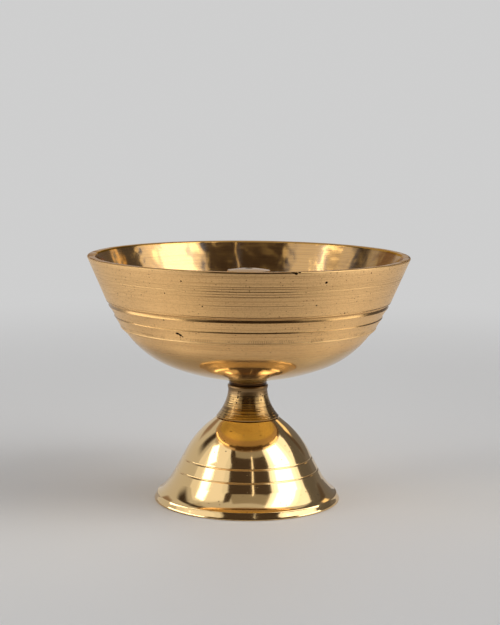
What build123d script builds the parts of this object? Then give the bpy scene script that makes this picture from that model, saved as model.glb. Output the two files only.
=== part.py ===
from build123d import *
from math import hypot, sqrt
import os

# A turned brass butter lamp, in millimetres. Everything is turned about Z and the foot stands on Z = 0.
# A rise is a height above the feature below it, so each piece is stacked from its own base upwards.

# Shared
running_clearance = 0.05      # radial, between a thread and the hole that takes it
thread_end = 0.5              # bevel on the ends of threads
seam_edge = 0.3               # broken edges that open a seam between two pieces

# Foot: a hollow bell with a bevelled band round its base
foot_radius = 29.2
foot_wall = 2.2
ring_width = 2.6              # flat ring that the lamp stands on
base_edge = 0.25
band_rise = 2.15
band_taper = 0.95             # how far the band leans in
flare_rise = 4.85             # concave flare above the band
flare_radius = 23.84
flare_hollow = 0.29
wall_rise = 7.0               # straight wall
wall_radius = 20.03
dome_rise = 9.5               # rounded dome
dome_radius = 12.8
dome_crown = 0.62
shoulder_rise = 2.4           # straight shoulder up to the crown
crown_radius = 9.9            # flat crown that carries the neck
crown_thickness = 3.2
lower_line_rise = 2.7         # two fine turned lines, from the bottom and the top of the straight wall
upper_line_drop = 0.6
line_width = 0.5
line_depth = 0.22

# Neck: a concave spool with a lip at its top and a threaded tail below
neck_height = 10.4
neck_overhang = -0.15         # its base beside the crown
neck_base_land = 0.55
waist_radius = 6.12
waist_drop = 1.6              # below the top
waist_hollow = 0.68
lip_radius = 6.32
lip_height = 0.75
tail_radius = 4.0
tail_proud = 1.3              # past the nut
tail_hole_clearance = 0.25

# Washer and nut on the neck's tail, inside the foot
washer_radius = 8.5
washer_thickness = 1.5
washer_hole_clearance = 0.4
nut_across_flats = 13.0
nut_thickness = 6.5
nut_chamfer = 0.7

# Stud between the neck and the bowl
stud_radius = 4.0
stud_end_gap = 0.25           # room beyond each end of the stud
socket_floor = 2.4            # left under the stud in the neck
cap_thickness = 1.75          # left over the stud in the bowl

# Bowl, outside, from its seat on the neck upwards
spigot_radius = 5.93
spigot_rise = 1.2
throat_fillet = 0.7
throat_rise = 0.56
throat_radius = 7.5
throat_hollow = 0.1
under_rise = 1.44
under_radius = 13.0
belly_rise = 3.75             # underside up to where the side turns up
belly_radius = 25.6
belly_crown = 0.34
side_rise = 9.6
side_radius = 37.72
step_rise = 2.1               # plain step above the side, up to the first ridge
step_run = 2.13
bands = (                     # ledge on each ridge: rise and depth; cove above it: rise, run and hollow
    (0.22, 0.05, 3.18, 1.95, 0.10),
    (0.43, 0.13, 2.88, 1.90, 0.10),
    (0.86, 0.22, 0.58, 0.88, 0.06),
)
upper_wall_rise = 13.9
rim_radius = 50.0
rim_outer_edge = 0.4

# Bowl, inside
rim_width = 2.3
rim_inner_edge = 0.5
bowl_wall = 2.2               # under the belly
side_wall = 1.68              # at the top of the rounded side, where the bowl is thinnest
turn_wall = 2.42              # level, at the top ridge
floor_height = 6.7
floor_margin = 4.57           # flat floor left round the wick holder

# Wick holder: a loose waisted post with a button head
wick_radius = 1.0
holder_height = 29.9
head_radius = 6.8
head_thickness = 1.7
head_crown = 0.55
head_edge = 0.4
head_cove = 0.4               # hollow under the head
stem_radius = 4.7
stem_drop = 4.6               # below the top
stem_hollow = 1.3
holder_base_radius = 8.8
holder_base_land = 1.5
slot_width = 2.4              # two crossed slots let butter reach the bore
slot_height = 2.0

band_height = band_rise
flare_height = band_height + flare_rise
wall_height = flare_height + wall_rise
dome_height = wall_height + dome_rise
crown_height = dome_height + shoulder_rise
ceiling_height = crown_height - crown_thickness
seat_height = crown_height + neck_height
floor_level = seat_height + floor_height
stud_bottom = crown_height + socket_floor + stud_end_gap
stud_top = floor_level - cap_thickness - stud_end_gap
stud_hole_radius = stud_radius + running_clearance


def turned(*curves):
    """Solid turned about Z from the curves of a closed half section."""
    outline = Wire([edge for curve in curves for edge in curve.edges()])
    return revolve(Plane.XZ * Face(outline), Axis.Z)


def threaded_rod(radius, bottom, top):
    return turned(
        Polyline(
            (0, bottom), (radius - thread_end, bottom), (radius, bottom + thread_end),
            (radius, top - thread_end), (radius - thread_end, top), (0, top), (0, bottom),
        )
    )


def disc(radius, bottom, top):
    return Pos(0, 0, bottom) * Cylinder(radius, top - bottom, align=(Align.CENTER, Align.CENTER, Align.MIN))


def inward(start, end):
    """Unit vector square to the line from start to end, on its left."""
    along = Vector(*end) - Vector(*start)
    return Vector(-along.Y, along.X).normalized()


def moved(point, direction, distance):
    return point[0] + direction.X * distance, point[1] + direction.Y * distance


def span(start, end):
    return hypot(end[0] - start[0], end[1] - start[1])


def turned_line(bottom, top, height):
    """Ring with a three-cornered section that cuts a fine line into the straight wall from bottom to top."""
    lean = (top[0] - bottom[0]) / (top[1] - bottom[1])
    side = inward(bottom, top)
    half = line_width / 2
    middle = (bottom[0] + lean * (height - bottom[1]), height)
    upper = (middle[0] + lean * half, height + half)
    lower = (middle[0] - lean * half, height - half)
    root = moved(middle, side, line_depth)
    return turned(Polyline(root, moved(lower, side, -line_depth), moved(upper, side, -line_depth), root))


def make_foot():
    band = (foot_radius - band_taper, band_height)
    flare = (flare_radius, flare_height)
    wall = (wall_radius, wall_height)
    dome = (dome_radius, dome_height)
    crown = (crown_radius, crown_height)
    bell = turned(
        Polyline((0, 0), (foot_radius - base_edge, 0), (foot_radius, base_edge), band),
        SagittaArc(band, flare, flare_hollow),
        Line(flare, wall),
        SagittaArc(wall, dome, -dome_crown),
        Polyline(dome, crown, (0, crown_height), (0, 0)),
    )

    # The hollow keeps one wall thickness inside the straight wall and the shoulder
    inner_ring = (foot_radius - ring_width, 0)
    inner_flare = moved(flare, inward(flare, wall), foot_wall)
    inner_wall = moved(wall, inward(flare, wall), foot_wall)
    inner_dome = moved(dome, inward(dome, crown), foot_wall)
    shoulder_lean = (dome_radius - crown_radius) / shoulder_rise
    inner_crown_radius = inner_dome[0] - shoulder_lean * (ceiling_height - inner_dome[1])
    inner_dome_crown = dome_crown * span(inner_wall, inner_dome) / span(wall, dome)
    hollow = turned(
        Line((0, 0), inner_ring),
        SagittaArc(inner_ring, inner_flare, flare_hollow),
        Line(inner_flare, inner_wall),
        SagittaArc(inner_wall, inner_dome, -inner_dome_crown),
        Polyline(inner_dome, (inner_crown_radius, ceiling_height), (0, ceiling_height), (0, 0)),
    )

    foot = bell - hollow - disc(tail_radius + tail_hole_clearance, ceiling_height, crown_height)
    for height in (flare_height + lower_line_rise, wall_height - upper_line_drop):
        foot -= turned_line(flare, wall, height)
    return foot


def make_neck():
    base_radius = crown_radius + neck_overhang
    land = (base_radius, crown_height + neck_base_land)
    waist = (waist_radius, seat_height - waist_drop)
    lip_edge = seam_edge / 2
    spool = turned(
        Polyline(
            (0, crown_height), (base_radius - seam_edge, crown_height),
            (base_radius, crown_height + seam_edge), land,
        ),
        SagittaArc(land, waist, waist_hollow),
        Polyline(
            waist, (lip_radius, seat_height - lip_height), (lip_radius, seat_height - lip_edge),
            (lip_radius - lip_edge, seat_height), (0, seat_height), (0, crown_height),
        ),
    )
    tail_end = ceiling_height - washer_thickness - nut_thickness - tail_proud
    tail = threaded_rod(tail_radius, tail_end, crown_height + socket_floor)
    return spool + tail - disc(stud_hole_radius, stud_bottom - stud_end_gap, seat_height)


def make_washer():
    bottom = ceiling_height - washer_thickness
    hole = disc(tail_radius + washer_hole_clearance, bottom, ceiling_height)
    return disc(washer_radius, bottom, ceiling_height) - hole


def make_nut():
    top = ceiling_height - washer_thickness
    bottom = top - nut_thickness
    flat = nut_across_flats / 2
    corner = nut_across_flats / sqrt(3)
    hexagon = Pos(0, 0, bottom) * extrude(RegularPolygon(flat, 6, major_radius=False), nut_thickness)
    bevels = turned(
        Polyline(
            (0, bottom), (flat, bottom), (corner, bottom + nut_chamfer),
            (corner, top - nut_chamfer), (flat, top), (0, top), (0, bottom),
        )
    )
    return (hexagon & bevels) - disc(tail_radius + running_clearance, bottom, top)


def make_bowl():
    # Outside, from the spigot up to the rim
    spigot_edge = (spigot_radius - seam_edge, seat_height)
    spigot_side = (spigot_radius, seat_height + seam_edge)
    spigot = (spigot_radius, seat_height + spigot_rise)
    throat = (throat_radius, spigot[1] + throat_rise)
    under = (under_radius, throat[1] + under_rise)
    belly = (belly_radius, under[1] + belly_rise)
    side = (side_radius, belly[1] + side_rise)
    edge = (side_radius + step_run, side[1] + step_rise)
    underside = SagittaArc(under, belly, -belly_crown)
    outside = [
        Line((0, seat_height), spigot_edge),
        FilletPolyline(spigot_edge, spigot_side, spigot, throat, radius=[0, throat_fillet]),
        SagittaArc(throat, under, throat_hollow),
        underside,
        TangentArc(belly, side, tangent=underside % 1),
        Line(side, edge),
    ]
    for ledge_rise, ledge_depth, rise, run, hollow in bands:
        ridge = edge
        root = (ridge[0] - ledge_depth, ridge[1] + ledge_rise)
        edge = (root[0] + run, root[1] + rise)
        outside += [Line(ridge, root), SagittaArc(root, edge, hollow)]
    rim_height = edge[1] + upper_wall_rise
    rim = (rim_radius, rim_height - rim_outer_edge)
    rim_top = (rim_radius - rim_outer_edge, rim_height)
    outside.append(Polyline(edge, rim, rim_top))

    # Inside, a straight wall down to the top ridge, an arc to the belly, and one that runs out on the floor
    lean = (rim[0] - edge[0]) / (rim[1] - edge[1])
    inner_rim_radius = rim_radius - rim_width
    inner_rim_top = (inner_rim_radius + rim_inner_edge, rim_height)
    inner_rim = (inner_rim_radius - lean * rim_inner_edge, rim_height - rim_inner_edge)
    turn = (ridge[0] - turn_wall, ridge[1])
    inner_side = moved(side, inward(belly, edge), side_wall)
    inner_belly = moved(belly, (underside % 1).rotate(Axis.Z, 90), bowl_wall)
    floor_edge = (holder_base_radius + floor_margin, floor_level)
    inside = [
        Polyline(rim_top, inner_rim_top, inner_rim, turn),
        ThreePointArc(turn, inner_side, inner_belly),
        TangentArc(floor_edge, inner_belly, tangent=(1, 0)),
        Polyline(floor_edge, (0, floor_level), (0, seat_height)),
    ]
    return turned(*outside, *inside) - disc(stud_hole_radius, seat_height, stud_top + stud_end_gap)


def make_wick_holder():
    top_level = floor_level + holder_height
    base = (holder_base_radius, floor_level + holder_base_land)
    stem = (stem_radius, top_level - stem_drop)
    head = (head_radius, top_level - head_thickness)
    shoulder = (head_radius, top_level - head_crown - head_edge)
    crown = (head_radius - head_edge, top_level - head_crown)
    post = turned(
        Polyline((0, floor_level), (holder_base_radius, floor_level), base),
        SagittaArc(base, stem, stem_hollow),
        SagittaArc(stem, head, head_cove),
        Polyline(head, shoulder, crown),
        TangentArc((0, top_level), crown, tangent=(1, 0)),
        Line((0, top_level), (0, floor_level)),
    )
    post -= disc(wick_radius, floor_level, top_level)
    slot = Pos(0, 0, floor_level + slot_height / 2) * Box(2 * holder_base_radius, slot_width, slot_height)
    return post - slot - Rot(0, 0, 90) * slot


pieces = {
    "foot": make_foot(),
    "neck": make_neck(),
    "washer": make_washer(),
    "nut": make_nut(),
    "stud": threaded_rod(stud_radius, stud_bottom, stud_top),
    "bowl": make_bowl(),
    "wick_holder": make_wick_holder(),
}

os.makedirs("parts", exist_ok=True)
for name, solid in pieces.items():
    export_step(solid, f"parts/{name}.step")
    print(name, round(solid.volume), "mm3")
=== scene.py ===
import math

import bpy
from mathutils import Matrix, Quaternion, Vector


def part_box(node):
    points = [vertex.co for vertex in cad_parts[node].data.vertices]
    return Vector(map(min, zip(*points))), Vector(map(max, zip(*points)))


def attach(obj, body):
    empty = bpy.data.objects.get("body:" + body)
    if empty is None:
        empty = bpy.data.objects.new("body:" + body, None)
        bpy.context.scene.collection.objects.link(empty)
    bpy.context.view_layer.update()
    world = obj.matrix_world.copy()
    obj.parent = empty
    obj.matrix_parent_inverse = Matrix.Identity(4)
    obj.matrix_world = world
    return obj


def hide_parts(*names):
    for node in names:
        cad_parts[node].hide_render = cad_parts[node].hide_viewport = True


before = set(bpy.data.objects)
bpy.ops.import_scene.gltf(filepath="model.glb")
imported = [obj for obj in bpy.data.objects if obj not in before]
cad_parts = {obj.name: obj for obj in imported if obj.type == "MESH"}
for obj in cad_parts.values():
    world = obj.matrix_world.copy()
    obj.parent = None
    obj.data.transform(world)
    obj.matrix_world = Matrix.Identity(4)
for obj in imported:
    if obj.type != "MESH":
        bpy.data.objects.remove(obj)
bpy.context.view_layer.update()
mm = 0.001
print("frame loaded with", len(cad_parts), "nodes")


# Shader values: operators on one add Math nodes, and node() adds any other node
class Shade:
    def __init__(self, tree, socket=None):
        self.tree = tree
        self.socket = socket

    def node(self, kind, settings=None, inputs=None, output=0):
        made = self.tree.nodes.new(kind)
        for name, value in (settings or {}).items():
            setattr(made, name, value)
        for key, value in (inputs or {}).items():
            if isinstance(value, Shade):
                self.tree.links.new(value.socket, made.inputs[key])
            else:
                made.inputs[key].default_value = value
        return Shade(self.tree, made.outputs[output] if made.outputs else None)

    def math(self, operation, first, second=0.0):
        return self.node("ShaderNodeMath", {"operation": operation}, {0: first, 1: second})

    def __add__(self, other):
        return self.math("ADD", self, other)

    __radd__ = __add__

    def __sub__(self, other):
        return self.math("SUBTRACT", self, other)

    def __rsub__(self, other):
        return self.math("SUBTRACT", other, self)

    def __mul__(self, other):
        return self.math("MULTIPLY", self, other)

    __rmul__ = __mul__

    def __pow__(self, power):
        return self.math("POWER", self, power)

    def below(self, edge, soft):      # 1 under edge, 0 over edge + soft
        inputs = {0: self, 1: edge, 2: edge + soft, 3: 1.0, 4: 0.0}
        return self.node("ShaderNodeMapRange", {"interpolation_type": "SMOOTHSTEP"}, inputs)

    def between(self, low, high, soft):
        return self.below(high, soft) * (1 - self.below(low - soft, soft))

    def blend(self, under, over):     # colours mixed by this value
        return self.node("ShaderNodeMix", {"data_type": "RGBA"}, {0: self, 6: under, 7: over}, 2)


def startMaterial(name):
    material = bpy.data.materials.new(name)
    material.use_nodes = True
    material.node_tree.nodes.clear()
    return material, Shade(material.node_tree)


# A finish also knows where: shader values for the place on the piece, in metres
def startFinish(name):
    material, graph = startMaterial(name)
    place = graph.node("ShaderNodeTexCoord", output="Object")
    x, y, z = (graph.node("ShaderNodeSeparateXYZ", None, {0: place}, axis) for axis in range(3))
    radius = (x * x + y * y) ** 0.5
    return material, graph, {"place": place, "x": x, "y": y, "z": z, "radius": radius}


def bumped(graph, height, bump):
    inputs = {"Strength": bump["strength"], "Distance": bump["depth"], "Height": height}
    return graph.node("ShaderNodeBump", None, inputs)


def finishMetal(graph, colour, roughness, normal, fixed=None):
    inputs = {"Base Color": colour, "Roughness": roughness, "Metallic": 1.0, "Normal": normal}
    shader = graph.node("ShaderNodeBsdfPrincipled", None, {**inputs, **(fixed or {})})
    graph.node("ShaderNodeOutputMaterial", None, {0: shader})


# Rings round the axis: noise that is long round the piece and short along its outline
def latheLines(graph, where, perMetre, stretch, detail=2.0):
    along = where["z"] + 0.45 * where["radius"]
    spot = {0: where["x"] * stretch, 1: where["y"] * stretch, 2: along * perMetre}
    inputs = {"Vector": graph.node("ShaderNodeCombineXYZ", None, spot), "Scale": 1.0, "Detail": detail}
    return graph.node("ShaderNodeTexNoise", None, inputs)


def cloud(graph, where, scale, detail=3.0):
    inputs = {"Vector": where["place"], "Scale": scale, "Detail": detail}
    return graph.node("ShaderNodeTexNoise", None, inputs)


# Small dark pits of a casting, in that share of the cells
def castingPits(graph, where, scale, size, share):
    cells = {"Vector": where["place"], "Scale": scale, "Randomness": 1.0}
    distance = graph.node("ShaderNodeTexVoronoi", {"feature": "F1"}, cells)
    chance = graph.node("ShaderNodeTexVoronoi", {"feature": "F1"}, cells, 1)
    pick = graph.node("ShaderNodeSeparateColor", None, {0: chance})
    return distance.below(size * 0.5, size) * pick.below(share, 0.02)


# Turned pieces: an outline drawn by extruding a vertex, then spun about the lamp's axis.
# Outline points are radius and height in millimetres

def arcTo(start, end, hollow, count):       # points after start; hollow > 0 bows to the left of travel
    start, end = Vector(start), Vector(end)
    half = (end - start).length / 2
    left = Vector((start.y - end.y, end.x - start.x)).normalized()
    radius = (half ** 2 + hollow ** 2) / (2 * hollow)
    centre = (start + end) / 2 + left * (hollow - radius)
    spoke = start - centre
    sweep = -4 * math.atan(hollow / half)
    points = []
    for step in range(1, count + 1):
        turn = sweep * step / count
        c, s = math.cos(turn), math.sin(turn)
        points.append((centre.x + spoke.x * c - spoke.y * s, centre.y + spoke.x * s + spoke.y * c))
    return points


def lineTo(start, end, count):
    return [(start[0] + (end[0] - start[0]) * step / count, start[1] + (end[1] - start[1]) * step / count)
            for step in range(1, count + 1)]


def beside(point, shift):
    return point[0] + shift[0], point[1] + shift[1]


def drawOutline(name, outline):
    places = [Vector((radius * mm, 0, height * mm)) for radius, height in outline]
    bpy.ops.object.select_all(action="DESELECT")
    bpy.ops.mesh.primitive_plane_add(size=mm)
    piece = bpy.context.object
    piece.name = name
    piece.data.name = name
    bpy.ops.object.mode_set(mode="EDIT")
    bpy.ops.mesh.select_all(action="SELECT")
    bpy.ops.mesh.merge(type="CENTER")
    bpy.ops.transform.translate(value=places[0])
    for last, place in zip(places, places[1:]):
        bpy.ops.mesh.extrude_vertices_move(TRANSFORM_OT_translate={"value": place - last})
    return piece


def mergeDoubles():
    bpy.ops.object.mode_set(mode="EDIT")
    bpy.ops.mesh.select_all(action="SELECT")
    bpy.ops.mesh.remove_doubles(threshold=0.001 * mm)


def turnPiece(name, outline, shape):
    piece = drawOutline(name, outline)
    bpy.ops.object.mode_set(mode="OBJECT")
    lathe = piece.modifiers.new("lathe", "SCREW")
    lathe.steps = lathe.render_steps = shape["steps"]
    bpy.ops.object.modifier_apply(modifier=lathe.name)
    mergeDoubles()
    bpy.ops.mesh.normals_make_consistent(inside=False)
    bpy.ops.object.mode_set(mode="OBJECT")
    smoothen(shape)
    print(name, "turned:", len(piece.data.polygons), "faces")
    return piece


def smoothen(shape):
    bpy.ops.object.shade_smooth_by_angle(angle=math.radians(shape["smooth"]))


def give(piece, body, node, slot, *materials):
    piece.data.materials.clear()
    for material in materials:
        piece.data.materials.append(material)
    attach(piece, body)
    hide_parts(node)


# Faces that pass the test get the material in that place on the piece's list
def paintFaces(piece, materialIndex, test):
    for face in piece.data.polygons:
        middle, normal = face.center, face.normal
        radius = math.hypot(middle.x, middle.y)
        outward = (middle.x * normal.x + middle.y * normal.y) / max(radius, mm)
        if test(radius / mm, middle.z / mm, outward, normal.z):
            face.material_index = materialIndex


# Bowl

bowlShape = {
    "steps": 320, "smooth": 40,
    "stemHole": 4.05, "holeTop": 41.25, "holeMouth": 0.4,
    "seat": 36.3, "spigot": 5.93, "seamEdge": 0.3, "spigotTop": 37.1,
    "collar": (6.38, 37.69), "collarHollow": 0.12, "throat": (7.5, 38.06),
    "under": (13.0, 39.5), "underHollow": 0.1, "belly": (25.6, 43.25), "bellyHollow": -0.34,
    "side": (37.72, 52.85), "sideHollow": -1.08,
    "ridges": ((39.85, 54.95), (41.75, 58.35), (43.52, 61.66)),    # tops of the three bands
    "ridgeEdge": ((-0.05, -0.09), (-0.01, -0.02), (-0.01, 0.05)),  # broken edge, from each top
    "roots": ((39.8, 55.17), (41.62, 58.78), (43.3, 62.52)),       # foot of the cove above each ridge
    "rootEdge": (0.01, -0.06), "coveHollow": (0.1, 0.1, 0.06),
    "wallFoot": (44.18, 63.1), "wallEdge": 0.06,
    "rim": (50.0, 76.6), "rimTop": 77.0, "rimEdge": 0.4, "rimHollow": -0.13, "rimWidth": 2.3,
    "innerEdge": 0.5, "innerLean": 0.215, "innerEdgeHollow": -0.16,
    "innerTurn": (41.1, 61.66), "innerBelly": (24.76, 45.28), "innerHollow": 2.288,
    "floorEdge": (13.37, 43.0), "floorHollow": 0.576,
    "lines": ((72.7, 0.05), (72.05, 0.07), (71.2, 0.10), (70.45, 0.08), (69.7, 0.08), (69.05, 0.04),
              (67.95, 0.04), (66.95, 0.05), (74.9, 0.02), (65.6, 0.02), (63.42, 0.12)),   # height and depth
    "lineHalf": 0.2,
    "lineProfile": ((-1.15, 0), (-1, 0), (-0.5, 0.75), (-0.1, 1), (0.7, 0.2), (1, 0), (1.15, 0)),
    "insideFrom": 42.9, "cutFrom": 54.0, "cutTilt": -0.12,         # faces with a finish of their own
}


def bowlOutline(shape):
    seat, spigot, edge = shape["seat"], shape["spigot"], shape["seamEdge"]
    hole, mouth, floor = shape["stemHole"], shape["holeMouth"], shape["floorEdge"]
    outline = [(0, shape["holeTop"]), (hole, shape["holeTop"]), (hole, seat + mouth), (hole + mouth, seat),
               (spigot - edge, seat), (spigot, seat + edge), (spigot, shape["spigotTop"])]
    outline += arcTo(outline[-1], shape["collar"], shape["collarHollow"], count=5)
    outline += lineTo(shape["collar"], shape["throat"], count=2)
    outline += arcTo(shape["throat"], shape["under"], shape["underHollow"], count=8)
    outline += arcTo(shape["under"], shape["belly"], shape["bellyHollow"], count=18)
    outline += arcTo(shape["belly"], shape["side"], shape["sideHollow"], count=28)
    outline += ridgePoints(shape)
    outline += wallPoints(shape)
    outline += rimPoints(shape)
    outline += arcTo(shape["innerTurn"], shape["innerBelly"], shape["innerHollow"], count=34)
    outline += arcTo(shape["innerBelly"], floor, shape["floorHollow"], count=12)
    outline += lineTo(floor, (0, floor[1]), count=4)
    return outline


def ridgePoints(shape):                     # three ridges, each with a ledge and a cove above it
    points = lineTo(shape["side"], shape["ridges"][0], count=2)[:-1]
    tops = shape["ridges"][1:] + (shape["wallFoot"],)
    for ridge, root, hollow, top in zip(shape["ridges"], shape["roots"], shape["coveHollow"], tops):
        points += [beside(ridge, shift) for shift in shape["ridgeEdge"]]
        points.append(beside(root, shape["rootEdge"]))
        points += arcTo(root, top, hollow, count=9)[:-1]
    return points


def wallPoints(shape):                      # upper wall with its turned lines
    foot, rim, half = shape["wallFoot"], shape["rim"], shape["lineHalf"]
    lean = (rim[0] - foot[0]) / (rim[1] - foot[1])
    marks = [(foot[1], 0), (foot[1] + shape["wallEdge"], 0)]
    for height, depth in sorted(shape["lines"]):
        marks += [(height + half * up, depth * share) for up, share in shape["lineProfile"]]
    marks.append((rim[1], 0))
    return [(foot[0] + lean * (height - foot[1]) - depth, height) for height, depth in marks]


def rimPoints(shape):
    rim, top, edge = shape["rim"], shape["rimTop"], shape["innerEdge"]
    inner = rim[0] - shape["rimWidth"]
    points = arcTo(rim, (rim[0] - shape["rimEdge"], top), shape["rimHollow"], count=5)
    points += lineTo(points[-1], (inner + edge, top), count=3)
    points += arcTo(points[-1], (inner - shape["innerLean"], top - edge), shape["innerEdgeHollow"], count=5)
    return points + lineTo(points[-1], shape["innerTurn"], count=12)


bowl = turnPiece("bowlBody", bowlOutline(bowlShape), bowlShape)

# Neck

neckShape = {
    "steps": 224, "smooth": 50,
    "base": 9.75, "foot": 25.9, "seamEdge": 0.3,
    "land": (9.75, 26.45), "waist": (6.12, 34.7), "hollow": 0.68,
    "lip": 6.32, "lipFoot": 35.55, "lipUnder": (-0.03, -0.03), "lipLand": (0, 0.06), "lipEdge": 0.15,
    "seat": 36.3, "socket": 4.05, "socketMouth": 0.4, "socketFloor": 28.3,
    "rings": 230,                           # outline points on the spool
    "coarse": (0.78, 0.024), "fine": (0.33, 0.016), "tremble": 0.008,   # spacing and depth of the rings
    "coarseWander": (0.7, 2.3), "fineWander": (1.3, 3.1), "trembleRate": 9.7,   # how uneven they are
    "ringEdge": 1.5, "change": (30.2, 2.0),   # the coarse rings end over this rise
}


def neckOutline(shape):
    edge, mouth, seat = shape["seamEdge"], shape["socketMouth"], shape["seat"]
    lip, socket = shape["lip"], shape["socket"]
    lipFoot = (lip, shape["lipFoot"])
    outline = [(0, shape["foot"]), (shape["base"] - edge, shape["foot"]),
               (shape["base"], shape["foot"] + edge), shape["land"]]
    spool = arcTo(shape["land"], shape["waist"], shape["hollow"], shape["rings"])
    outline += [(radius - ringDepth(shape, height), height) for radius, height in spool]
    outline += [beside(lipFoot, shape["lipUnder"]), beside(lipFoot, shape["lipLand"]),
                (lip, seat - shape["lipEdge"]), (lip - shape["lipEdge"], seat),
                (socket + mouth, seat), (socket, seat - mouth),
                (socket, shape["socketFloor"]), (0, shape["socketFloor"])]
    return outline


def ringDepth(shape, height):               # rough tool rings, coarse below and fine above
    start, rise = shape["change"]
    share = min(1, max(0, (height - start) / rise))
    (wide, deep), (narrow, shallow) = shape["coarse"], shape["fine"]
    (coarseSway, coarseRate), (fineSway, fineRate) = shape["coarseWander"], shape["fineWander"]
    ridge = abs(math.sin(math.pi * height / wide + coarseSway * math.sin(coarseRate * height)))
    wave = math.cos(math.tau * height / narrow + fineSway * math.sin(fineRate * height))
    coarse = deep * (1 - ridge) ** shape["ringEdge"]
    fine = shallow * (1 - wave) / 2
    tremble = shape["tremble"] * (1 + math.sin(shape["trembleRate"] * height)) / 2
    return coarse * (1 - share) + fine + tremble


neck = turnPiece("neckSpool", neckOutline(neckShape), neckShape)

# Foot

footShape = {
    "steps": 300, "smooth": 40,
    "radius": 29.2, "baseEdge": 0.25, "baseHollow": -0.07, "ringWidth": 2.6,
    "band": (28.25, 2.15), "bandEdge": ((0.06, -0.12), (-0.12, 0.1)), "edgeHollow": -0.05,
    "flareTurn": (26.66, 3.4),              # the flare curves more below this point
    "flare": (23.84, 7.0), "flareHollow": (0.073, 0.113),
    "wall": (20.03, 14.0), "wallEdge": (0.1, 0.5), "dome": (12.8, 23.5), "domeHollow": -0.62,
    "crown": (9.9, 25.9), "crownEdge": ((0.16, -0.14), (-0.12, 0)), "hole": 4.25,
    "lines": (9.7, 13.4),                   # heights of the two fine lines
    "lineProfile": ((-0.35, 0), (-0.29, 0), (-0.22, 0.02), (-0.05, 0.2), (0.05, 0.2), (0.22, 0.02),
                    (0.29, 0), (0.35, 0)),  # rise from that height, and depth
    "innerFlare": (21.91, 5.95), "innerFlareHollow": -0.29, "innerWall": (18.1, 12.95),
    "innerDome": (11.39, 21.81), "innerDomeHollow": 0.57, "innerCrown": (10.32, 22.7),
    "innerFrom": 1.0, "innerTilt": -0.01,   # faces left as cast
}


def footOutline(shape):
    radius, edge, bow = shape["radius"], shape["baseEdge"], shape["edgeHollow"]
    ring = radius - shape["ringWidth"]
    bandFoot, bandTop = (beside(shape["band"], shift) for shift in shape["bandEdge"])
    crownFoot, crownTop = (beside(shape["crown"], shift) for shift in shape["crownEdge"])
    lowHollow, highHollow = shape["flareHollow"]
    outline = [(ring, 0), (radius - edge, 0)]
    outline += arcTo(outline[-1], (radius, edge), shape["baseHollow"], count=4)
    outline += lineTo(outline[-1], bandFoot, count=3)
    outline += arcTo(bandFoot, bandTop, bow, count=4)
    outline += arcTo(bandTop, shape["flareTurn"], lowHollow, count=14)
    outline += arcTo(shape["flareTurn"], shape["flare"], highHollow, count=20)
    outline += footWall(shape)
    outline += arcTo(shape["wall"], shape["dome"], shape["domeHollow"], count=44)
    outline += lineTo(shape["dome"], crownFoot, count=8)
    outline += arcTo(crownFoot, crownTop, bow, count=4)
    outline += [(shape["hole"], crownTop[1]), (shape["hole"], shape["innerCrown"][1]), shape["innerCrown"]]
    outline += lineTo(shape["innerCrown"], shape["innerDome"], count=2)
    outline += arcTo(shape["innerDome"], shape["innerWall"], shape["innerDomeHollow"], count=14)
    outline += lineTo(shape["innerWall"], shape["innerFlare"], count=6)
    outline += arcTo(shape["innerFlare"], (ring, 0), shape["innerFlareHollow"], count=10)
    return outline


def footWall(shape):                        # straight wall with its two fine lines
    flare, wall = shape["flare"], shape["wall"]
    lean = (wall[0] - flare[0]) / (wall[1] - flare[1])
    marks = [(flare[1] + up, 0) for up in shape["wallEdge"]]
    for height in shape["lines"]:
        marks += [(height + up, depth) for up, depth in shape["lineProfile"]]
    marks += [(wall[1] - shape["wallEdge"][0], 0), (wall[1], 0)]
    return [(flare[0] + lean * (height - flare[1]) - depth, height) for height, depth in marks]


foot = turnPiece("footBell", footOutline(footShape), footShape)

# Wick holder

holderShape = {
    "steps": 160, "smooth": 40,
    "bore": 1.0, "boreEdge": 0.25, "boreHollow": -0.07, "floor": 43.0, "top": 72.9,
    "base": 8.8, "baseEdge": 0.2, "land": 1.5, "stem": (4.7, 68.3), "stemHollow": 1.3,
    "head": 6.8, "headFoot": 71.2, "headCove": 0.4, "headUnder": (-0.1, 0), "headSide": (0, 0.15),
    "underHollow": -0.04, "headEdge": 0.4, "edgeHollow": -0.12, "crown": 0.55, "crownHollow": -0.09,
    "slotWidth": 2.4, "slotHeight": 2.0,
    "oilRadius": 1.2, "oilTilt": -0.3,      # faces of the bore, dark with oil
}


def holderOutline(shape):
    bore, floor, top, head = shape["bore"], shape["floor"], shape["top"], shape["head"]
    base, edge = shape["base"], shape["baseEdge"]
    shoulder = top - shape["crown"]
    headFoot = (head, shape["headFoot"])
    headUnder, headSide = beside(headFoot, shape["headUnder"]), beside(headFoot, shape["headSide"])
    outline = [(bore, floor), (base - edge, floor), (base, floor + edge), (base, floor + shape["land"])]
    outline += arcTo(outline[-1], shape["stem"], shape["stemHollow"], count=40)
    outline += arcTo(shape["stem"], headUnder, shape["headCove"], count=16)
    outline += arcTo(headUnder, headSide, shape["underHollow"], count=3)
    outline += lineTo(headSide, (head, shoulder - shape["headEdge"]), count=2)
    outline += arcTo(outline[-1], (head - shape["headEdge"], shoulder), shape["edgeHollow"], count=6)
    outline += arcTo(outline[-1], (bore + shape["boreEdge"], top), shape["crownHollow"], count=16)
    outline += arcTo(outline[-1], (bore, top - shape["boreEdge"]), shape["boreHollow"], count=4)
    outline += lineTo(outline[-1], (bore, floor), count=4)
    return outline


holder = turnPiece("wickPost", holderOutline(holderShape), holderShape)


# Slots and threads

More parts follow.
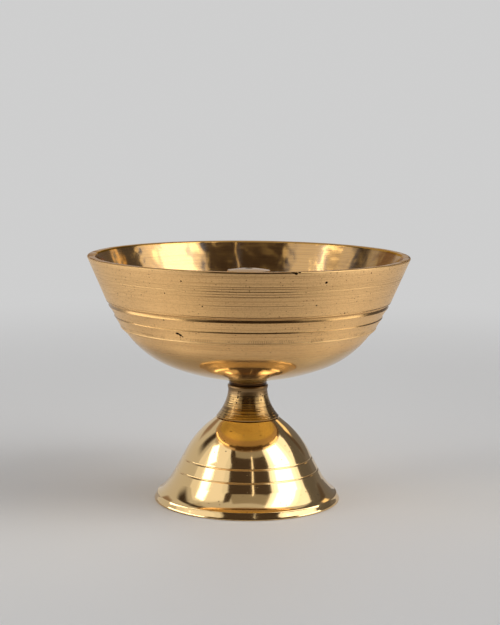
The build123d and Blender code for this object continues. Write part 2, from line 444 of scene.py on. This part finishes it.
def activate(piece):
    bpy.ops.object.select_all(action="DESELECT")
    bpy.context.view_layer.objects.active = piece
    piece.select_set(True)


def carve(piece, tool, operation="DIFFERENCE"):
    activate(piece)
    cut = piece.modifiers.new("carve", "BOOLEAN")
    cut.operation = operation
    cut.solver = "MANIFOLD"
    cut.material_mode = "TRANSFER"
    cut.object = tool
    bpy.ops.object.modifier_apply(modifier=cut.name)
    bpy.data.objects.remove(tool)


def cutSlots(piece, shape):                 # two crossed slots under the post, through to the bore
    for turn in (0, 90):
        bpy.ops.object.select_all(action="DESELECT")
        bpy.ops.mesh.primitive_cube_add(size=mm, location=(0, 0, shape["floor"] * mm))
        cutter = bpy.context.object
        cutter.scale = (4 * shape["base"], shape["slotWidth"], 2 * shape["slotHeight"])
        cutter.rotation_euler.z = math.radians(turn)
        carve(piece, cutter)
    smoothen(shape)


cutSlots(holder, holderShape)
print("slots cut")

threadShape = {
    "steps": 48, "smooth": 30,
    "pitch": 1.25, "crest": 3.98, "root": 3.24, "bevel": 0.75,
    "profile": (1 / 4, 9 / 16, 11 / 16),    # shares of the pitch: the root's end, the crest's start and end
    "past": 0.4,                            # spare length that is cut off
}


# A rod with a right-hand thread, from the lower to the upper height in millimetres
def threadedRod(name, shape, low, high):
    pitch, crest, root, past = shape["pitch"], shape["crest"], shape["root"], shape["past"]
    rootEnd, crestStart, crestEnd = (share * pitch for share in shape["profile"])
    ridge = ((root, 0), (root, rootEnd), (crest, crestStart), (crest, crestEnd), (root, pitch))
    rod = drawOutline(name, [(radius, low - past - pitch + height) for radius, height in ridge])
    bpy.ops.object.mode_set(mode="OBJECT")
    thread = rod.modifiers.new("thread", "SCREW")
    thread.steps = thread.render_steps = shape["steps"]
    thread.iterations = math.ceil((high - low + 2 * past) / pitch) + 2
    thread.screw_offset = pitch * mm
    bpy.ops.object.modifier_apply(modifier=thread.name)
    mergeDoubles()
    for height, top in ((low - past, False), (high + past, True)):
        bpy.ops.mesh.select_all(action="SELECT")
        bpy.ops.mesh.bisect(plane_co=(0, 0, height * mm), plane_no=(0, 0, 1), use_fill=True,
                            clear_inner=not top, clear_outer=top)
    bpy.ops.mesh.select_all(action="SELECT")
    bpy.ops.mesh.normals_make_consistent(inside=False)
    bpy.ops.object.mode_set(mode="OBJECT")
    narrow, wide = crest - shape["bevel"], crest + past
    bevel = shape["bevel"] + past
    ends = [(0, low), (narrow, low), (wide, low + bevel), (wide, high - bevel), (narrow, high), (0, high)]
    carve(rod, turnPiece(name + "Blank", ends, shape), "INTERSECT")
    smoothen(shape)
    print(name, "threaded:", len(rod.data.polygons), "faces")
    return rod


studLow, studHigh = (corner[2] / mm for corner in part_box("stud"))
stud = threadedRod("bowlStud", threadShape, studLow, studHigh)
tail = threadedRod("neckTail", threadShape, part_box("neck")[0][2] / mm, neckShape["foot"])


# Finishes. Lines are a number to the metre, unevenness and detail; clouds a scale and detail;
# pits a scale, size and share of the cells

satinLook = {
    "broad": (800, 5), "fine": (3600, 3, 3.0), "grain": (2200, 3.0), "stain": (38,),
    "pits": (640, 0.10, 0.2), "specks": (1050, 0.2, 0.4), "speckPatch": (130,),
    "wall": ((0.84, 0.54, 0.245, 1), (0.95, 0.64, 0.305, 1)),
    "bellyTop": 0.0475, "belly": (0.56, 0.345, 0.15, 1), "gilt": (0.74, 0.49, 0.20, 1),
    "goldEdge": 0.0200, "gold": (0.98, 0.69, 0.19, 1),       # polished ring round the spigot
    "grainColour": (0.52, 0.31, 0.13, 1), "lineColour": (0.50, 0.285, 0.11, 1),
    "speckColour": (0.20, 0.10, 0.035, 1), "pitColour": (0.09, 0.045, 0.018, 1),
    # the spigot is painted darker brown and the seam under it almost black: painted shade in the recess
    # between bowl and neck
    "spigotTop": 0.0375, "spigot": (0.42, 0.25, 0.10, 1),
    "seamTop": 0.0372, "seam": (0.05, 0.022, 0.008, 1),
    "frontDepth": -0.03, "frontWidth": (-0.010, 0.017),      # where the turned lines are bumped deeper and painted darker: painted reflection of the dark camera side
    "chatterBand": (0.0553, 0.0560), "chatterCount": 470, "chatterWear": (260,),
    "chatterColour": (0.22, 0.12, 0.045, 1),
    "bump": {"strength": 0.35, "depth": 0.00006},
    "brushed": {"Anisotropic": 0.55, "Anisotropic Rotation": 0.25},
}


# Two metals on one surface, mixed by share: turned parts scatter light along their outline and still mirror
def mixMetals(graph, share, normal, first, second):
    shaders = []
    for inputs in (first, second):
        inputs = {"Metallic": 1.0, "Normal": normal, **inputs}
        shaders.append(graph.node("ShaderNodeBsdfPrincipled", None, inputs))
    mixed = graph.node("ShaderNodeMixShader", None, {0: share, 1: shaders[0], 2: shaders[1]})
    graph.node("ShaderNodeOutputMaterial", None, {0: mixed})


# Short upright dashes that a trembling tool left above the lowest ridge
def chatterMarks(graph, where, look):
    angle = graph.math("ARCTAN2", where["y"], where["x"])
    dashes = graph.math("SINE", angle * look["chatterCount"])
    worn = cloud(graph, where, *look["chatterWear"])
    band = where["z"].between(*look["chatterBand"], 0.0003)
    return band * (1 - dashes.below(0.0, 0.6)) * (1 - worn.below(0.48, 0.1))


def satinBrass(look):
    material, graph, where = startFinish("satinTurnedBrass")
    broad = latheLines(graph, where, *look["broad"])
    fine = latheLines(graph, where, *look["fine"])
    front = where["y"].below(look["frontDepth"], 0.012) * where["x"].between(*look["frontWidth"], 0.010)
    patch = 1 - cloud(graph, where, *look["speckPatch"]).below(0.44, 0.14)
    specks = castingPits(graph, where, *look["specks"]) * patch
    grain = cloud(graph, where, *look["grain"])
    stain = cloud(graph, where, *look["stain"])
    pits = castingPits(graph, where, *look["pits"])
    under = where["radius"].below(look["goldEdge"], 0.003)
    belly = where["z"].below(look["bellyTop"], 0.006)
    tone = stain.blend(*look["wall"])
    tone = (0.75 * belly).blend(tone, look["belly"])
    tone = under.blend(tone, look["gold"])
    tone = (0.3 * grain.below(0.36, 0.16)).blend(tone, look["grainColour"])
    tone = (0.6 * chatterMarks(graph, where, look)).blend(tone, look["chatterColour"])
    # Turned lines painted darker, most at the front middle: painted reflection of the dark camera side
    tone = ((0.16 + 0.4 * front) * fine.below(0.40, 0.08)).blend(tone, look["lineColour"])
    tone = (0.72 * specks).blend(tone, look["speckColour"])
    # Painted shade in the recess under the belly: spigot darker brown, seam almost black
    tone = where["z"].below(look["spigotTop"], 0.0006).blend(tone, look["spigot"])
    tone = where["z"].below(look["seamTop"], 0.0003).blend(tone, look["seam"])
    colour = pits.blend(tone, look["pitColour"])
    gilt = (0.7 * belly * (1 - under)).blend(colour, look["gilt"])
    height = 0.4 * broad + (0.2 + 0.3 * front) * fine - 1.2 * pits
    share = 0.26 + 0.12 * broad + 0.55 * belly
    mixMetals(graph, share, bumped(graph, height, look["bump"]),
              {"Base Color": colour, "Roughness": 0.58 + 0.08 * broad + 0.06 * stain, **look["brushed"]},
              {"Base Color": gilt, "Roughness": 0.05 + 0.08 * broad + 0.2 * pits})
    return material


# Faces that the tool cut last: the ledges and the flanks of the turned lines
cutLook = {
    "lines": (3000, 20), "stain": (120,),
    "ledge": ((0.32, 0.185, 0.07, 1), (0.46, 0.28, 0.11, 1)),
    "lowestTop": 0.0560, "lowest": (0.86, 0.57, 0.25, 1),
    "wallFrom": 0.0640, "wall": (0.62, 0.39, 0.165, 1),
    # the front middle of the wall's line flanks is painted near black: painted reflection of the dark camera
    # side
    "frontDepth": -0.02, "paintedShadeWidth": (-0.006, 0.014), "paintedShade": (0.07, 0.038, 0.016, 1),
    "bump": {"strength": 0.2, "depth": 0.00003},
}


def cutBrass(look):
    material, graph, where = startFinish("cutBrass")
    lines = latheLines(graph, where, *look["lines"])
    stain = cloud(graph, where, *look["stain"])
    onWall = 1 - where["z"].below(look["wallFrom"], 0.0005)
    lowest = where["z"].below(look["lowestTop"], 0.0005)
    front = where["y"].below(look["frontDepth"], 0.01)
    # Painted reflection of the dark camera side: line flanks at the front middle of the wall darkened
    paintedShade = front * (where["x"] + 0.006 * lines).between(*look["paintedShadeWidth"], 0.005)
    colour = lowest.blend(stain.blend(*look["ledge"]), look["lowest"])
    colour = onWall.blend(colour, paintedShade.blend(look["wall"], look["paintedShade"]))
    roughness = 0.17 + 0.08 * lines + 0.05 * stain + 0.18 * onWall + 0.16 * lowest
    finishMetal(graph, colour, roughness, bumped(graph, lines, look["bump"]))
    return material


# Inside of the bowl and the wick holder, under a film of old oil up to the rim
brushedLook = {
    "broad": (1400, 8), "fine": (5200, 22), "stain": (34,), "wave": (70, 2.0), "ripple": (210, 1.0),
    "metal": ((0.46, 0.25, 0.065, 1), (0.58, 0.34, 0.115, 1)), "lineColour": (0.34, 0.175, 0.05, 1),
    "filmTop": 0.0763, "film": 0.6,
    "bump": {"strength": 0.3, "depth": 0.0006},
    "fixed": {"Anisotropic": 0.5, "Anisotropic Rotation": 0.25, "Specular Tint": (0.78, 0.56, 0.32, 1),
              "Coat IOR": 1.9, "Coat Roughness": 0.12},
}


def brushedBrass(look):
    material, graph, where = startFinish("brushedBrass")
    broad = latheLines(graph, where, *look["broad"])
    fine = latheLines(graph, where, *look["fine"])
    stain = cloud(graph, where, *look["stain"])
    wave = 5 * cloud(graph, where, *look["wave"]) + 1.1 * cloud(graph, where, *look["ripple"])
    colour = (0.5 * fine.below(0.42, 0.08)).blend(stain.blend(*look["metal"]), look["lineColour"])
    roughness = 0.07 + 0.06 * broad + 0.10 * stain
    normal = bumped(graph, 0.04 * broad + 0.03 * fine + wave, look["bump"])
    film = look["film"] * where["z"].below(look["filmTop"], 0.0003)
    finishMetal(graph, colour, roughness, normal, {"Coat Weight": film, **look["fixed"]})
    return material


mirrorLook = {
    "smear": (60,), "lines": (2600, 20), "wave": (110, 1.0), "wear": (150,),
    "pits": (420, 0.07, 0.2), "pores": (620, 0.12, 0.35),
    "metal": ((0.78, 0.54, 0.25, 1), (0.86, 0.61, 0.30, 1)),
    "poreColour": (0.30, 0.16, 0.05, 1), "pitColour": (0.15, 0.08, 0.03, 1),
    "bump": {"strength": 0.12, "depth": 0.00003},
}


def mirrorBrass(look):
    material, graph, where = startFinish("mirrorBrass")
    smear = cloud(graph, where, *look["smear"])
    lines = latheLines(graph, where, *look["lines"])
    pits = castingPits(graph, where, *look["pits"])
    worn = 1 - cloud(graph, where, *look["wear"]).below(0.46, 0.12)
    pores = castingPits(graph, where, *look["pores"]) * worn
    colour = (0.8 * pores).blend(smear.blend(*look["metal"]), look["poreColour"])
    colour = pits.blend(colour, look["pitColour"])
    roughness = 0.055 + 0.07 * smear + 0.2 * pits + 0.3 * pores
    height = 0.3 * lines - pits + 5 * cloud(graph, where, *look["wave"])
    finishMetal(graph, colour, roughness, bumped(graph, height, look["bump"]))
    return material


roughLook = {
    "lines": (3400, 40, 3.0), "stain": (160, 4.0), "pits": (900, 0.16, 0.2),
    "metal": ((0.28, 0.165, 0.06, 1), (0.52, 0.345, 0.145, 1)),
    # above topFrom the neck is painted darker: painted shade under the bowl, standing in for the dark
    # surroundings it mirrors
    "topFrom": 0.0325, "top": (0.22, 0.138, 0.07, 1),
    "lineColour": (0.16, 0.085, 0.03, 1), "pitColour": (0.03, 0.015, 0.007, 1),
    "bump": {"strength": 0.4, "depth": 0.0001},
}


def roughBrass(look):
    material, graph, where = startFinish("roughTurnedBrass")
    lines = latheLines(graph, where, *look["lines"])
    stain = cloud(graph, where, *look["stain"])
    pits = castingPits(graph, where, *look["pits"])
    # Painted shade: the upper neck, under the bowl, is darkened
    top = 1 - where["z"].below(look["topFrom"], 0.002)
    colour = (0.8 * top).blend(stain.blend(*look["metal"]), look["top"])
    colour = (0.7 * lines.below(0.40, 0.08)).blend(colour, look["lineColour"])
    colour = pits.blend(colour, look["pitColour"])
    roughness = 0.08 + 0.10 * stain + 0.05 * lines + 0.3 * pits + 0.2 * top
    height = 0.6 * lines + 0.3 * stain - 1.5 * pits
    finishMetal(graph, colour, roughness, bumped(graph, height, look["bump"]))
    return material


castLook = {
    "grain": (900, 5.0), "stain": (90,),
    "metal": ((0.25, 0.15, 0.06, 1), (0.46, 0.30, 0.13, 1)), "bump": {"strength": 0.6, "depth": 0.0003},
}


def castBrass(look):
    material, graph, where = startFinish("castBrass")
    grain = cloud(graph, where, *look["grain"])
    colour = cloud(graph, where, *look["stain"]).blend(*look["metal"])
    finishMetal(graph, colour, 0.45 + 0.2 * grain, bumped(graph, grain, look["bump"]))
    return material


# Bottom of a pore or a knock
oilLook = {
    "grain": (2400,), "dirt": ((0.006, 0.003, 0.002, 1), (0.05, 0.025, 0.01, 1)),
    "bump": {"strength": 0.5, "depth": 0.0001},
}


def oldOil(look):
    material, graph, where = startFinish("oldOil")
    grain = cloud(graph, where, *look["grain"])
    finishMetal(graph, grain.blend(*look["dirt"]), 0.5 + 0.2 * grain, bumped(graph, grain, look["bump"]))
    return material


threadLook = {
    "stain": (220,), "lines": (5000, 30),
    "metal": ((0.58, 0.37, 0.15, 1), (0.78, 0.54, 0.24, 1)), "bump": {"strength": 0.3, "depth": 0.00004},
}


def threadBrass(look):
    material, graph, where = startFinish("threadBrass")
    stain = cloud(graph, where, *look["stain"])
    lines = latheLines(graph, where, *look["lines"])
    roughness = 0.16 + 0.12 * stain + 0.08 * lines
    finishMetal(graph, stain.blend(*look["metal"]), roughness, bumped(graph, lines, look["bump"]))
    return material


zincLook = {
    "spangle": (420, 4.0), "scratches": (2600, 90),
    "metal": ((0.40, 0.41, 0.42, 1), (0.66, 0.66, 0.65, 1)), "bump": {"strength": 0.3, "depth": 0.00005},
}


def zincSteel(look):
    material, graph, where = startFinish("zincSteel")
    spangle = cloud(graph, where, *look["spangle"])
    scratches = latheLines(graph, where, *look["scratches"])
    roughness = 0.24 + 0.16 * spangle + 0.1 * scratches
    finishMetal(graph, spangle.blend(*look["metal"]), roughness, bumped(graph, scratches, look["bump"]))
    return material


satin = satinBrass(satinLook)
cut = cutBrass(cutLook)
brushed = brushedBrass(brushedLook)
mirror = mirrorBrass(mirrorLook)
rough = roughBrass(roughLook)
cast = castBrass(castLook)
grime = oldOil(oilLook)
thread = threadBrass(threadLook)
zinc = zincSteel(zincLook)

levelFace = 0.9                             # upward part of the normal of a level face


def isBowlInside(radius, height, outward, up):
    return height > bowlShape["insideFrom"] and (outward < 0 or up > levelFace)


def isCutFace(radius, height, outward, up):
    onOutside = outward > 0 and bowlShape["cutFrom"] < height < bowlShape["rimTop"]
    return onOutside and bowlShape["cutTilt"] < up < levelFace


def isFootInside(radius, height, outward, up):
    return outward < footShape["innerTilt"] or up < -levelFace and height > footShape["innerFrom"]


def isWickBore(radius, height, outward, up):
    return radius < holderShape["oilRadius"] and outward < holderShape["oilTilt"]


give(bowl, "bowl", "bowl", "satin_brass", satin, brushed, cut)
give(neck, "base", "neck", "rough_brass", rough)
give(tail, "base", "neck", "rough_brass", thread)
give(stud, "stud", "stud", "thread_brass", thread)
give(foot, "base", "foot", "mirror_brass", mirror, cast)
give(holder, "wick_holder", "wick_holder", "polished_brass", brushed, grime)
paintFaces(bowl, 1, isBowlInside)
paintFaces(bowl, 2, isCutFace)
paintFaces(foot, 1, isFootInside)
paintFaces(holder, 1, isWickBore)
for name in ("washer", "nut"):
    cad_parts[name].material_slots[0].material = zinc
print("finishes given")

# Marks left by casting and use: turn from the front, height, radius of the surface, size along and up
bowlMarks = (
    (26.9, 73.58, 48.7, 0.40, 0.40),                                 # the open pore near the rim
    (14.4, 76.85, 49.95, 0.62, 0.3), (15.4, 76.6, 50.0, 0.55, 0.36), (16.6, 76.9, 49.9, 0.42, 0.24),
    (-29.9, 57.35, 41.25, 0.75, 0.45), (-28.8, 56.9, 41.0, 0.55, 0.5), (-28.0, 56.4, 40.75, 0.4, 0.36),
    (-23.1, 73.83, 48.8, 0.27, 0.24), (-30.7, 69.78, 47.05, 0.2, 0.28), (-16.7, 66.47, 45.65, 0.22, 0.2),
    (25.1, 66.74, 45.75, 0.28, 0.22), (38.9, 63.75, 44.45, 0.22, 0.24), (45.7, 75.45, 49.5, 0.24, 0.2),
    (-34.5, 61.4, 43.3, 0.3, 0.24),
)
neckMarks = (
    (-28.8, 33.24, 6.42, 0.24, 0.62), (-30.3, 31.43, 7.0, 0.28, 0.28), (38.9, 32.22, 6.7, 0.28, 0.28),
    (54.2, 32.89, 6.5, 0.22, 0.24), (-27, 34.76, 6.14, 0.3, 0.22), (-21, 34.9, 6.14, 0.2, 0.2),
    (-29, 34.2, 6.2, 0.18, 0.2), (40, 33.9, 6.26, 0.2, 0.2),
)
footMarks = (
    (-33.8, 17.71, 17.92, 0.15, 0.2), (-27.4, 20.99, 15.36, 0.2, 0.2), (-21.9, 18.33, 17.49, 0.22, 0.16),
    (-14.4, 16.99, 18.38, 0.2, 0.16), (-9.9, 15.59, 19.21, 0.12, 0.16), (-31.1, 5.03, 25.24, 0.14, 0.12),
    (-26.0, 3.88, 26.21, 0.16, 0.12), (-19.4, 4.69, 25.51, 0.2, 0.16), (-18.1, 3.86, 26.23, 0.14, 0.12),
    (30.7, 20.0, 16.21, 0.13, 0.12), (43.8, 19.26, 16.81, 0.15, 0.17), (23.1, 18.4, 17.44, 0.12, 0.12),
    (45.8, 17.52, 18.05, 0.13, 0.13), (33.6, 15.78, 19.1, 0.13, 0.3), (25.5, 14.53, 19.77, 0.14, 0.12),
    (23.4, 4.25, 25.89, 0.15, 0.13), (26.7, 3.58, 26.49, 0.17, 0.14), (31.9, 4.74, 25.47, 0.14, 0.12),
    (47.4, 5.97, 24.54, 0.18, 0.2), (58.1, 4.33, 25.81, 0.2, 0.2),
    (-23.6, 23.58, 12.7, 0.55, 0.12), (17.0, 22.67, 13.72, 0.3, 0.1),   # two level scratches below the neck
)


def cutMarks(piece, marks, shape, inside):
    for turn, height, radius, along, up in marks:
        spin = math.radians(turn)
        place = Vector((radius * math.sin(spin), -radius * math.cos(spin), height)) * mm
        bpy.ops.object.select_all(action="DESELECT")
        bpy.ops.mesh.primitive_ico_sphere_add(subdivisions=3, radius=mm, location=place)
        ball = bpy.context.object
        ball.scale = (along, min(along, up), up)
        ball.rotation_euler.z = spin
        ball.data.materials.append(inside)
        carve(piece, ball)
    smoothen(shape)
    print(piece.name, "marked:", len(marks), "places")


cutMarks(bowl, bowlMarks, bowlShape, grime)
cutMarks(neck, neckMarks, neckShape, grime)
cutMarks(foot, footMarks, footShape, grime)


# Floor, background and lights

stageSet = {
    "floorRadius": 6.0, "floorSides": 96, "floorColour": (0.78, 0.775, 0.77, 1), "floorRoughness": 0.55,
    "background": (0.62, 0.62, 0.62, 1),
    "fadeFrom": 0.2, "fadeOver": 0.3,       # distance at which the floor runs into the background
    "floorHeight": -0.05 * mm,              # just clear of the base ring
    "roomLight": 0.30, "aim": Vector((0, 0, 0.03)),
    "cardFace": (5, 8),                     # degrees that one face of a card spans, along and up
    "cardLift": 0.5 * mm,                   # cards that look down lie this far over the floor
}


# What the camera and the polished metal see, 1 for both and 0 for the light that falls on the floor
def seenDirectly(graph):
    rays = [graph.node("ShaderNodeLightPath", output="Is " + kind + " Ray")
            for kind in ("Camera", "Glossy", "Transmission")]
    return graph.math("MAXIMUM", graph.math("MAXIMUM", rays[0], rays[1]), rays[2])


def makeFloor(settings):
    bpy.ops.object.select_all(action="DESELECT")
    bpy.ops.mesh.primitive_circle_add(vertices=settings["floorSides"], radius=settings["floorRadius"],
                                      fill_type="NGON", location=(0, 0, settings["floorHeight"]))
    floor = bpy.context.object
    floor.name = "floor"
    material, graph, where = startFinish("paleFloor")
    paper = {"Base Color": settings["floorColour"], "Roughness": settings["floorRoughness"]}
    paper = graph.node("ShaderNodeBsdfPrincipled", None, paper)
    plain = graph.node("ShaderNodeEmission", None, {0: settings["background"], 1: 1.0})
    far = 1 - where["radius"].below(settings["fadeFrom"], settings["fadeOver"])
    mixed = graph.node("ShaderNodeMixShader", None, {0: far * seenDirectly(graph), 1: paper, 2: plain})
    graph.node("ShaderNodeOutputMaterial", None, {0: mixed})
    floor.data.materials.append(material)


def makeWorld(settings):
    world = bpy.data.worlds.new("studio")
    world.use_nodes = True
    bpy.context.scene.world = world
    world.node_tree.nodes.clear()
    graph = Shade(world.node_tree)
    light = graph.node("ShaderNodeBackground", None, {0: (1, 1, 1, 1), 1: settings["roomLight"]})
    shown = graph.node("ShaderNodeBackground", None, {0: settings["background"], 1: 1.0})
    mixed = graph.node("ShaderNodeMixShader", None, {0: seenDirectly(graph), 1: light, 2: shown})
    graph.node("ShaderNodeOutputWorld", None, {0: mixed})


# Upright panels of light. Each faces the lamp from the turn given, from the camera's side to the right.
# Across and rise are its edges as angles from that line, seen from the lamp; roll turns it on its plane
softboxes = {
    "boxLeft": {"facing": -47, "across": (-53, 13), "rise": (16, 57), "distance": 0.7, "level": 0.34},
    "boxLeftGlow": {"facing": -47, "across": (-40, 4), "rise": (18, 55), "distance": 0.695, "level": 0.14},
    "boxLeftCore": {"facing": -47, "across": (-41, -27), "rise": (29, 55), "distance": 0.69, "level": 2.8,
                    "roll": 30},
    "stripLeft": {"facing": -82, "across": (-30, 30), "rise": (1.5, 12), "distance": 0.9, "level": 3.4},
    "boxRight": {"facing": 50, "across": (-7, 66), "rise": (16, 68), "distance": 0.6, "level": 0.9},
    "boxRightGlow": {"facing": 50, "across": (-2, 44), "rise": (18, 66), "distance": 0.595, "level": 0.4},
    "boxRightCore": {"facing": 50, "across": (4, 37), "rise": (29, 64), "distance": 0.59, "level": 2.0},
    "stripRight": {"facing": 85, "across": (-19, 19), "rise": (1.5, 12), "distance": 0.9, "level": 3.0},
}

# Cards of the studio, seen only in the metal. Turn and rise are their edges in degrees, seen from the lamp;
# lean is the turn gained for each degree of rise, and soft the share over which the edges fade away
darkCloth = (1, 0.74, 0.58, 1)
paleCloth = (1, 0.93, 0.82, 1)
greyCloth = (1, 0.95, 0.95, 1)
amberCloth = (1, 0.77, 0.45, 1)
cards = {
    "gapLow": {"turn": (-48, 62), "rise": (-2, 18), "distance": 0.78, "level": 0.06, "colour": darkCloth},
    "gapFloor": {"turn": (-31, 42), "rise": (-8, -2), "distance": 0.78, "level": 0.06, "colour": darkCloth},
    "glowLeft": {"turn": (-100, -5), "rise": (-40, -6), "distance": 0.78, "level": 0.8, "colour": paleCloth,
                 "soft": 0.4},
    "glowRight": {"turn": (45, 125), "rise": (-46, -8), "distance": 0.78, "level": 0.7, "colour": paleCloth,
                  "soft": 0.4},
    "gapLeft": {"turn": (-31, 9.6), "rise": (15.5, 48), "distance": 0.8, "level": 0.07, "colour": darkCloth},
    "gapRight": {"turn": (11.4, 42), "rise": (15.5, 48), "distance": 0.8, "level": 0.07,
                 "colour": darkCloth},
    "gapTop": {"turn": (-31, 42), "rise": (48, 63), "distance": 0.81, "level": 0.34, "colour": paleCloth},
    "gapEdge": {"turn": (-33, -20), "rise": (38, 58), "lean": -0.8, "distance": 0.62, "level": 0.07,
                "colour": darkCloth},
    "slit": {"turn": (9.2, 11.8), "rise": (33, 49), "distance": 0.42, "level": 1.8, "colour": paleCloth},
    "greyLow": {"turn": (101, 128), "rise": (-2, 14), "distance": 0.8, "level": 0.13, "colour": greyCloth},
    "greyRight": {"turn": (95, 125), "rise": (14, 62), "lean": 0.87, "distance": 0.8, "level": 0.13,
                  "colour": greyCloth},
    "darkRight": {"turn": (124, 170), "rise": (-2, 42), "distance": 0.82, "level": 0.18,
                  "colour": greyCloth},
    "leafRight": {"turn": (127, 139), "rise": (4, 36), "distance": 0.7, "level": 0.1, "colour": darkCloth,
                  "soft": 0.35},
    "leafLeft": {"turn": (-125, -103), "rise": (18, 56), "distance": 0.6, "level": 0.05, "colour": darkCloth,
                 "soft": 0.35},
    "leafTop": {"turn": (-134, -94), "rise": (44, 63), "distance": 0.6, "level": 0.07, "colour": darkCloth,
                "soft": 0.35},
    "amberSpot": {"turn": (133, 150), "rise": (19, 30), "distance": 0.3, "level": 1.5, "colour": amberCloth,
                  "soft": 0.3},
    "flagBack": {"turn": (-170, -130), "rise": (15, 31), "distance": 0.3, "level": 0.3, "colour": darkCloth,
                 "soft": 0.25},
    "flagLeft": {"turn": (-102, -82), "rise": (41, 52), "distance": 0.203, "level": 0.5, "colour": paleCloth,
                 "soft": 0.25},
}


def direction(turn, rise):
    turn, rise = math.radians(turn), math.radians(rise)
    return Vector((math.sin(turn) * math.cos(rise), -math.cos(turn) * math.cos(rise), math.sin(rise)))


def panelEdges(settings):                   # left, right, low and high, in metres on the panel's own plane
    angles = settings["across"] + settings["rise"]
    return [settings["distance"] * math.tan(math.radians(angle)) for angle in angles]


def makeSoftbox(name, settings, aim):
    left, right, low, high = panelEdges(settings)
    toward, along = direction(settings["facing"], 0), direction(settings["facing"] + 90, 0)
    data = bpy.data.lights.new(name, "AREA")
    data.shape = "RECTANGLE"
    data.size, data.size_y = right - left, high - low
    data.energy = settings["level"] * math.pi * data.size * data.size_y
    lamp = bpy.data.objects.new(name, data)
    bpy.context.scene.collection.objects.link(lamp)
    lamp.location = aim + toward * settings["distance"] + along * (left + right) / 2
    lamp.location.z += (low + high) / 2
    roll = Quaternion((0, 0, 1), math.radians(settings.get("roll", 0)))
    lamp.rotation_euler = (toward.to_track_quat("Z", "Y") @ roll).to_euler()


def makeCard(name, settings, stage):
    (left, right), (low, high), aim = settings["turn"], settings["rise"], stage["aim"]
    faceAlong, faceUp = stage["cardFace"]
    columns = max(1, round((right - left) / faceAlong))
    rows = max(1, round((high - low) / faceUp))
    bpy.ops.object.select_all(action="DESELECT")
    bpy.ops.mesh.primitive_grid_add(x_subdivisions=columns, y_subdivisions=rows, size=2)
    card = bpy.context.object
    card.name = name
    for corner in card.data.vertices:
        across, up = (corner.co.x + 1) / 2, (corner.co.y + 1) / 2
        lean = settings.get("lean", 0) * (high - low) * up
        away = direction(left + (right - left) * across + lean, low + (high - low) * up)
        reach = (aim.z - stage["cardLift"]) / max(-away.z, mm)
        corner.co = aim + away * min(settings["distance"], reach)
    dressCard(card, settings)


def dressCard(card, settings):
    material, graph = startMaterial(card.name + "Cloth")
    shine = graph.node("ShaderNodeEmission", None, {0: settings["colour"], 1: settings["level"]})
    if "soft" in settings:
        soft = settings["soft"]
        sheet = graph.node("ShaderNodeTexCoord", output="UV")
        across, up = (graph.node("ShaderNodeSeparateXYZ", None, {0: sheet}, axis) for axis in range(2))
        solid = across.between(soft, 1 - soft, soft) * up.between(soft, 1 - soft, soft)
        clear = graph.node("ShaderNodeBsdfTransparent")
        shine = graph.node("ShaderNodeMixShader", None, {0: solid, 1: clear, 2: shine})
    graph.node("ShaderNodeOutputMaterial", None, {0: shine})
    card.data.materials.append(material)
    for kind in ("camera", "diffuse", "shadow", "transmission"):
        setattr(card, "visible_" + kind, False)


makeFloor(stageSet)
makeWorld(stageSet)
for lampName, lampSettings in softboxes.items():
    makeSoftbox(lampName, lampSettings, stageSet["aim"])
for cardName, cardSettings in cards.items():
    makeCard(cardName, cardSettings, stageSet)
print("stage set")

cameraSet = {
    "place": (-0.0001, -0.4876, 0.1253), "pitch": 7.75, "roll": -0.5, "lens": 90.85, "sensor": 36.0,
    "clip": (0.02, 20),
}


def makeCamera(settings):
    data = bpy.data.cameras.new("camera")
    data.sensor_width = settings["sensor"]
    data.lens = settings["lens"]
    data.clip_start, data.clip_end = settings["clip"]
    camera = bpy.data.objects.new("camera", data)
    bpy.context.scene.collection.objects.link(camera)
    camera.location = settings["place"]
    camera.rotation_mode = "XYZ"
    camera.rotation_euler = (math.radians(90 - settings["pitch"]), math.radians(settings["roll"]), 0)
    bpy.context.scene.camera = camera


makeCamera(cameraSet)
bpy.context.scene.view_settings.view_transform = "Standard"
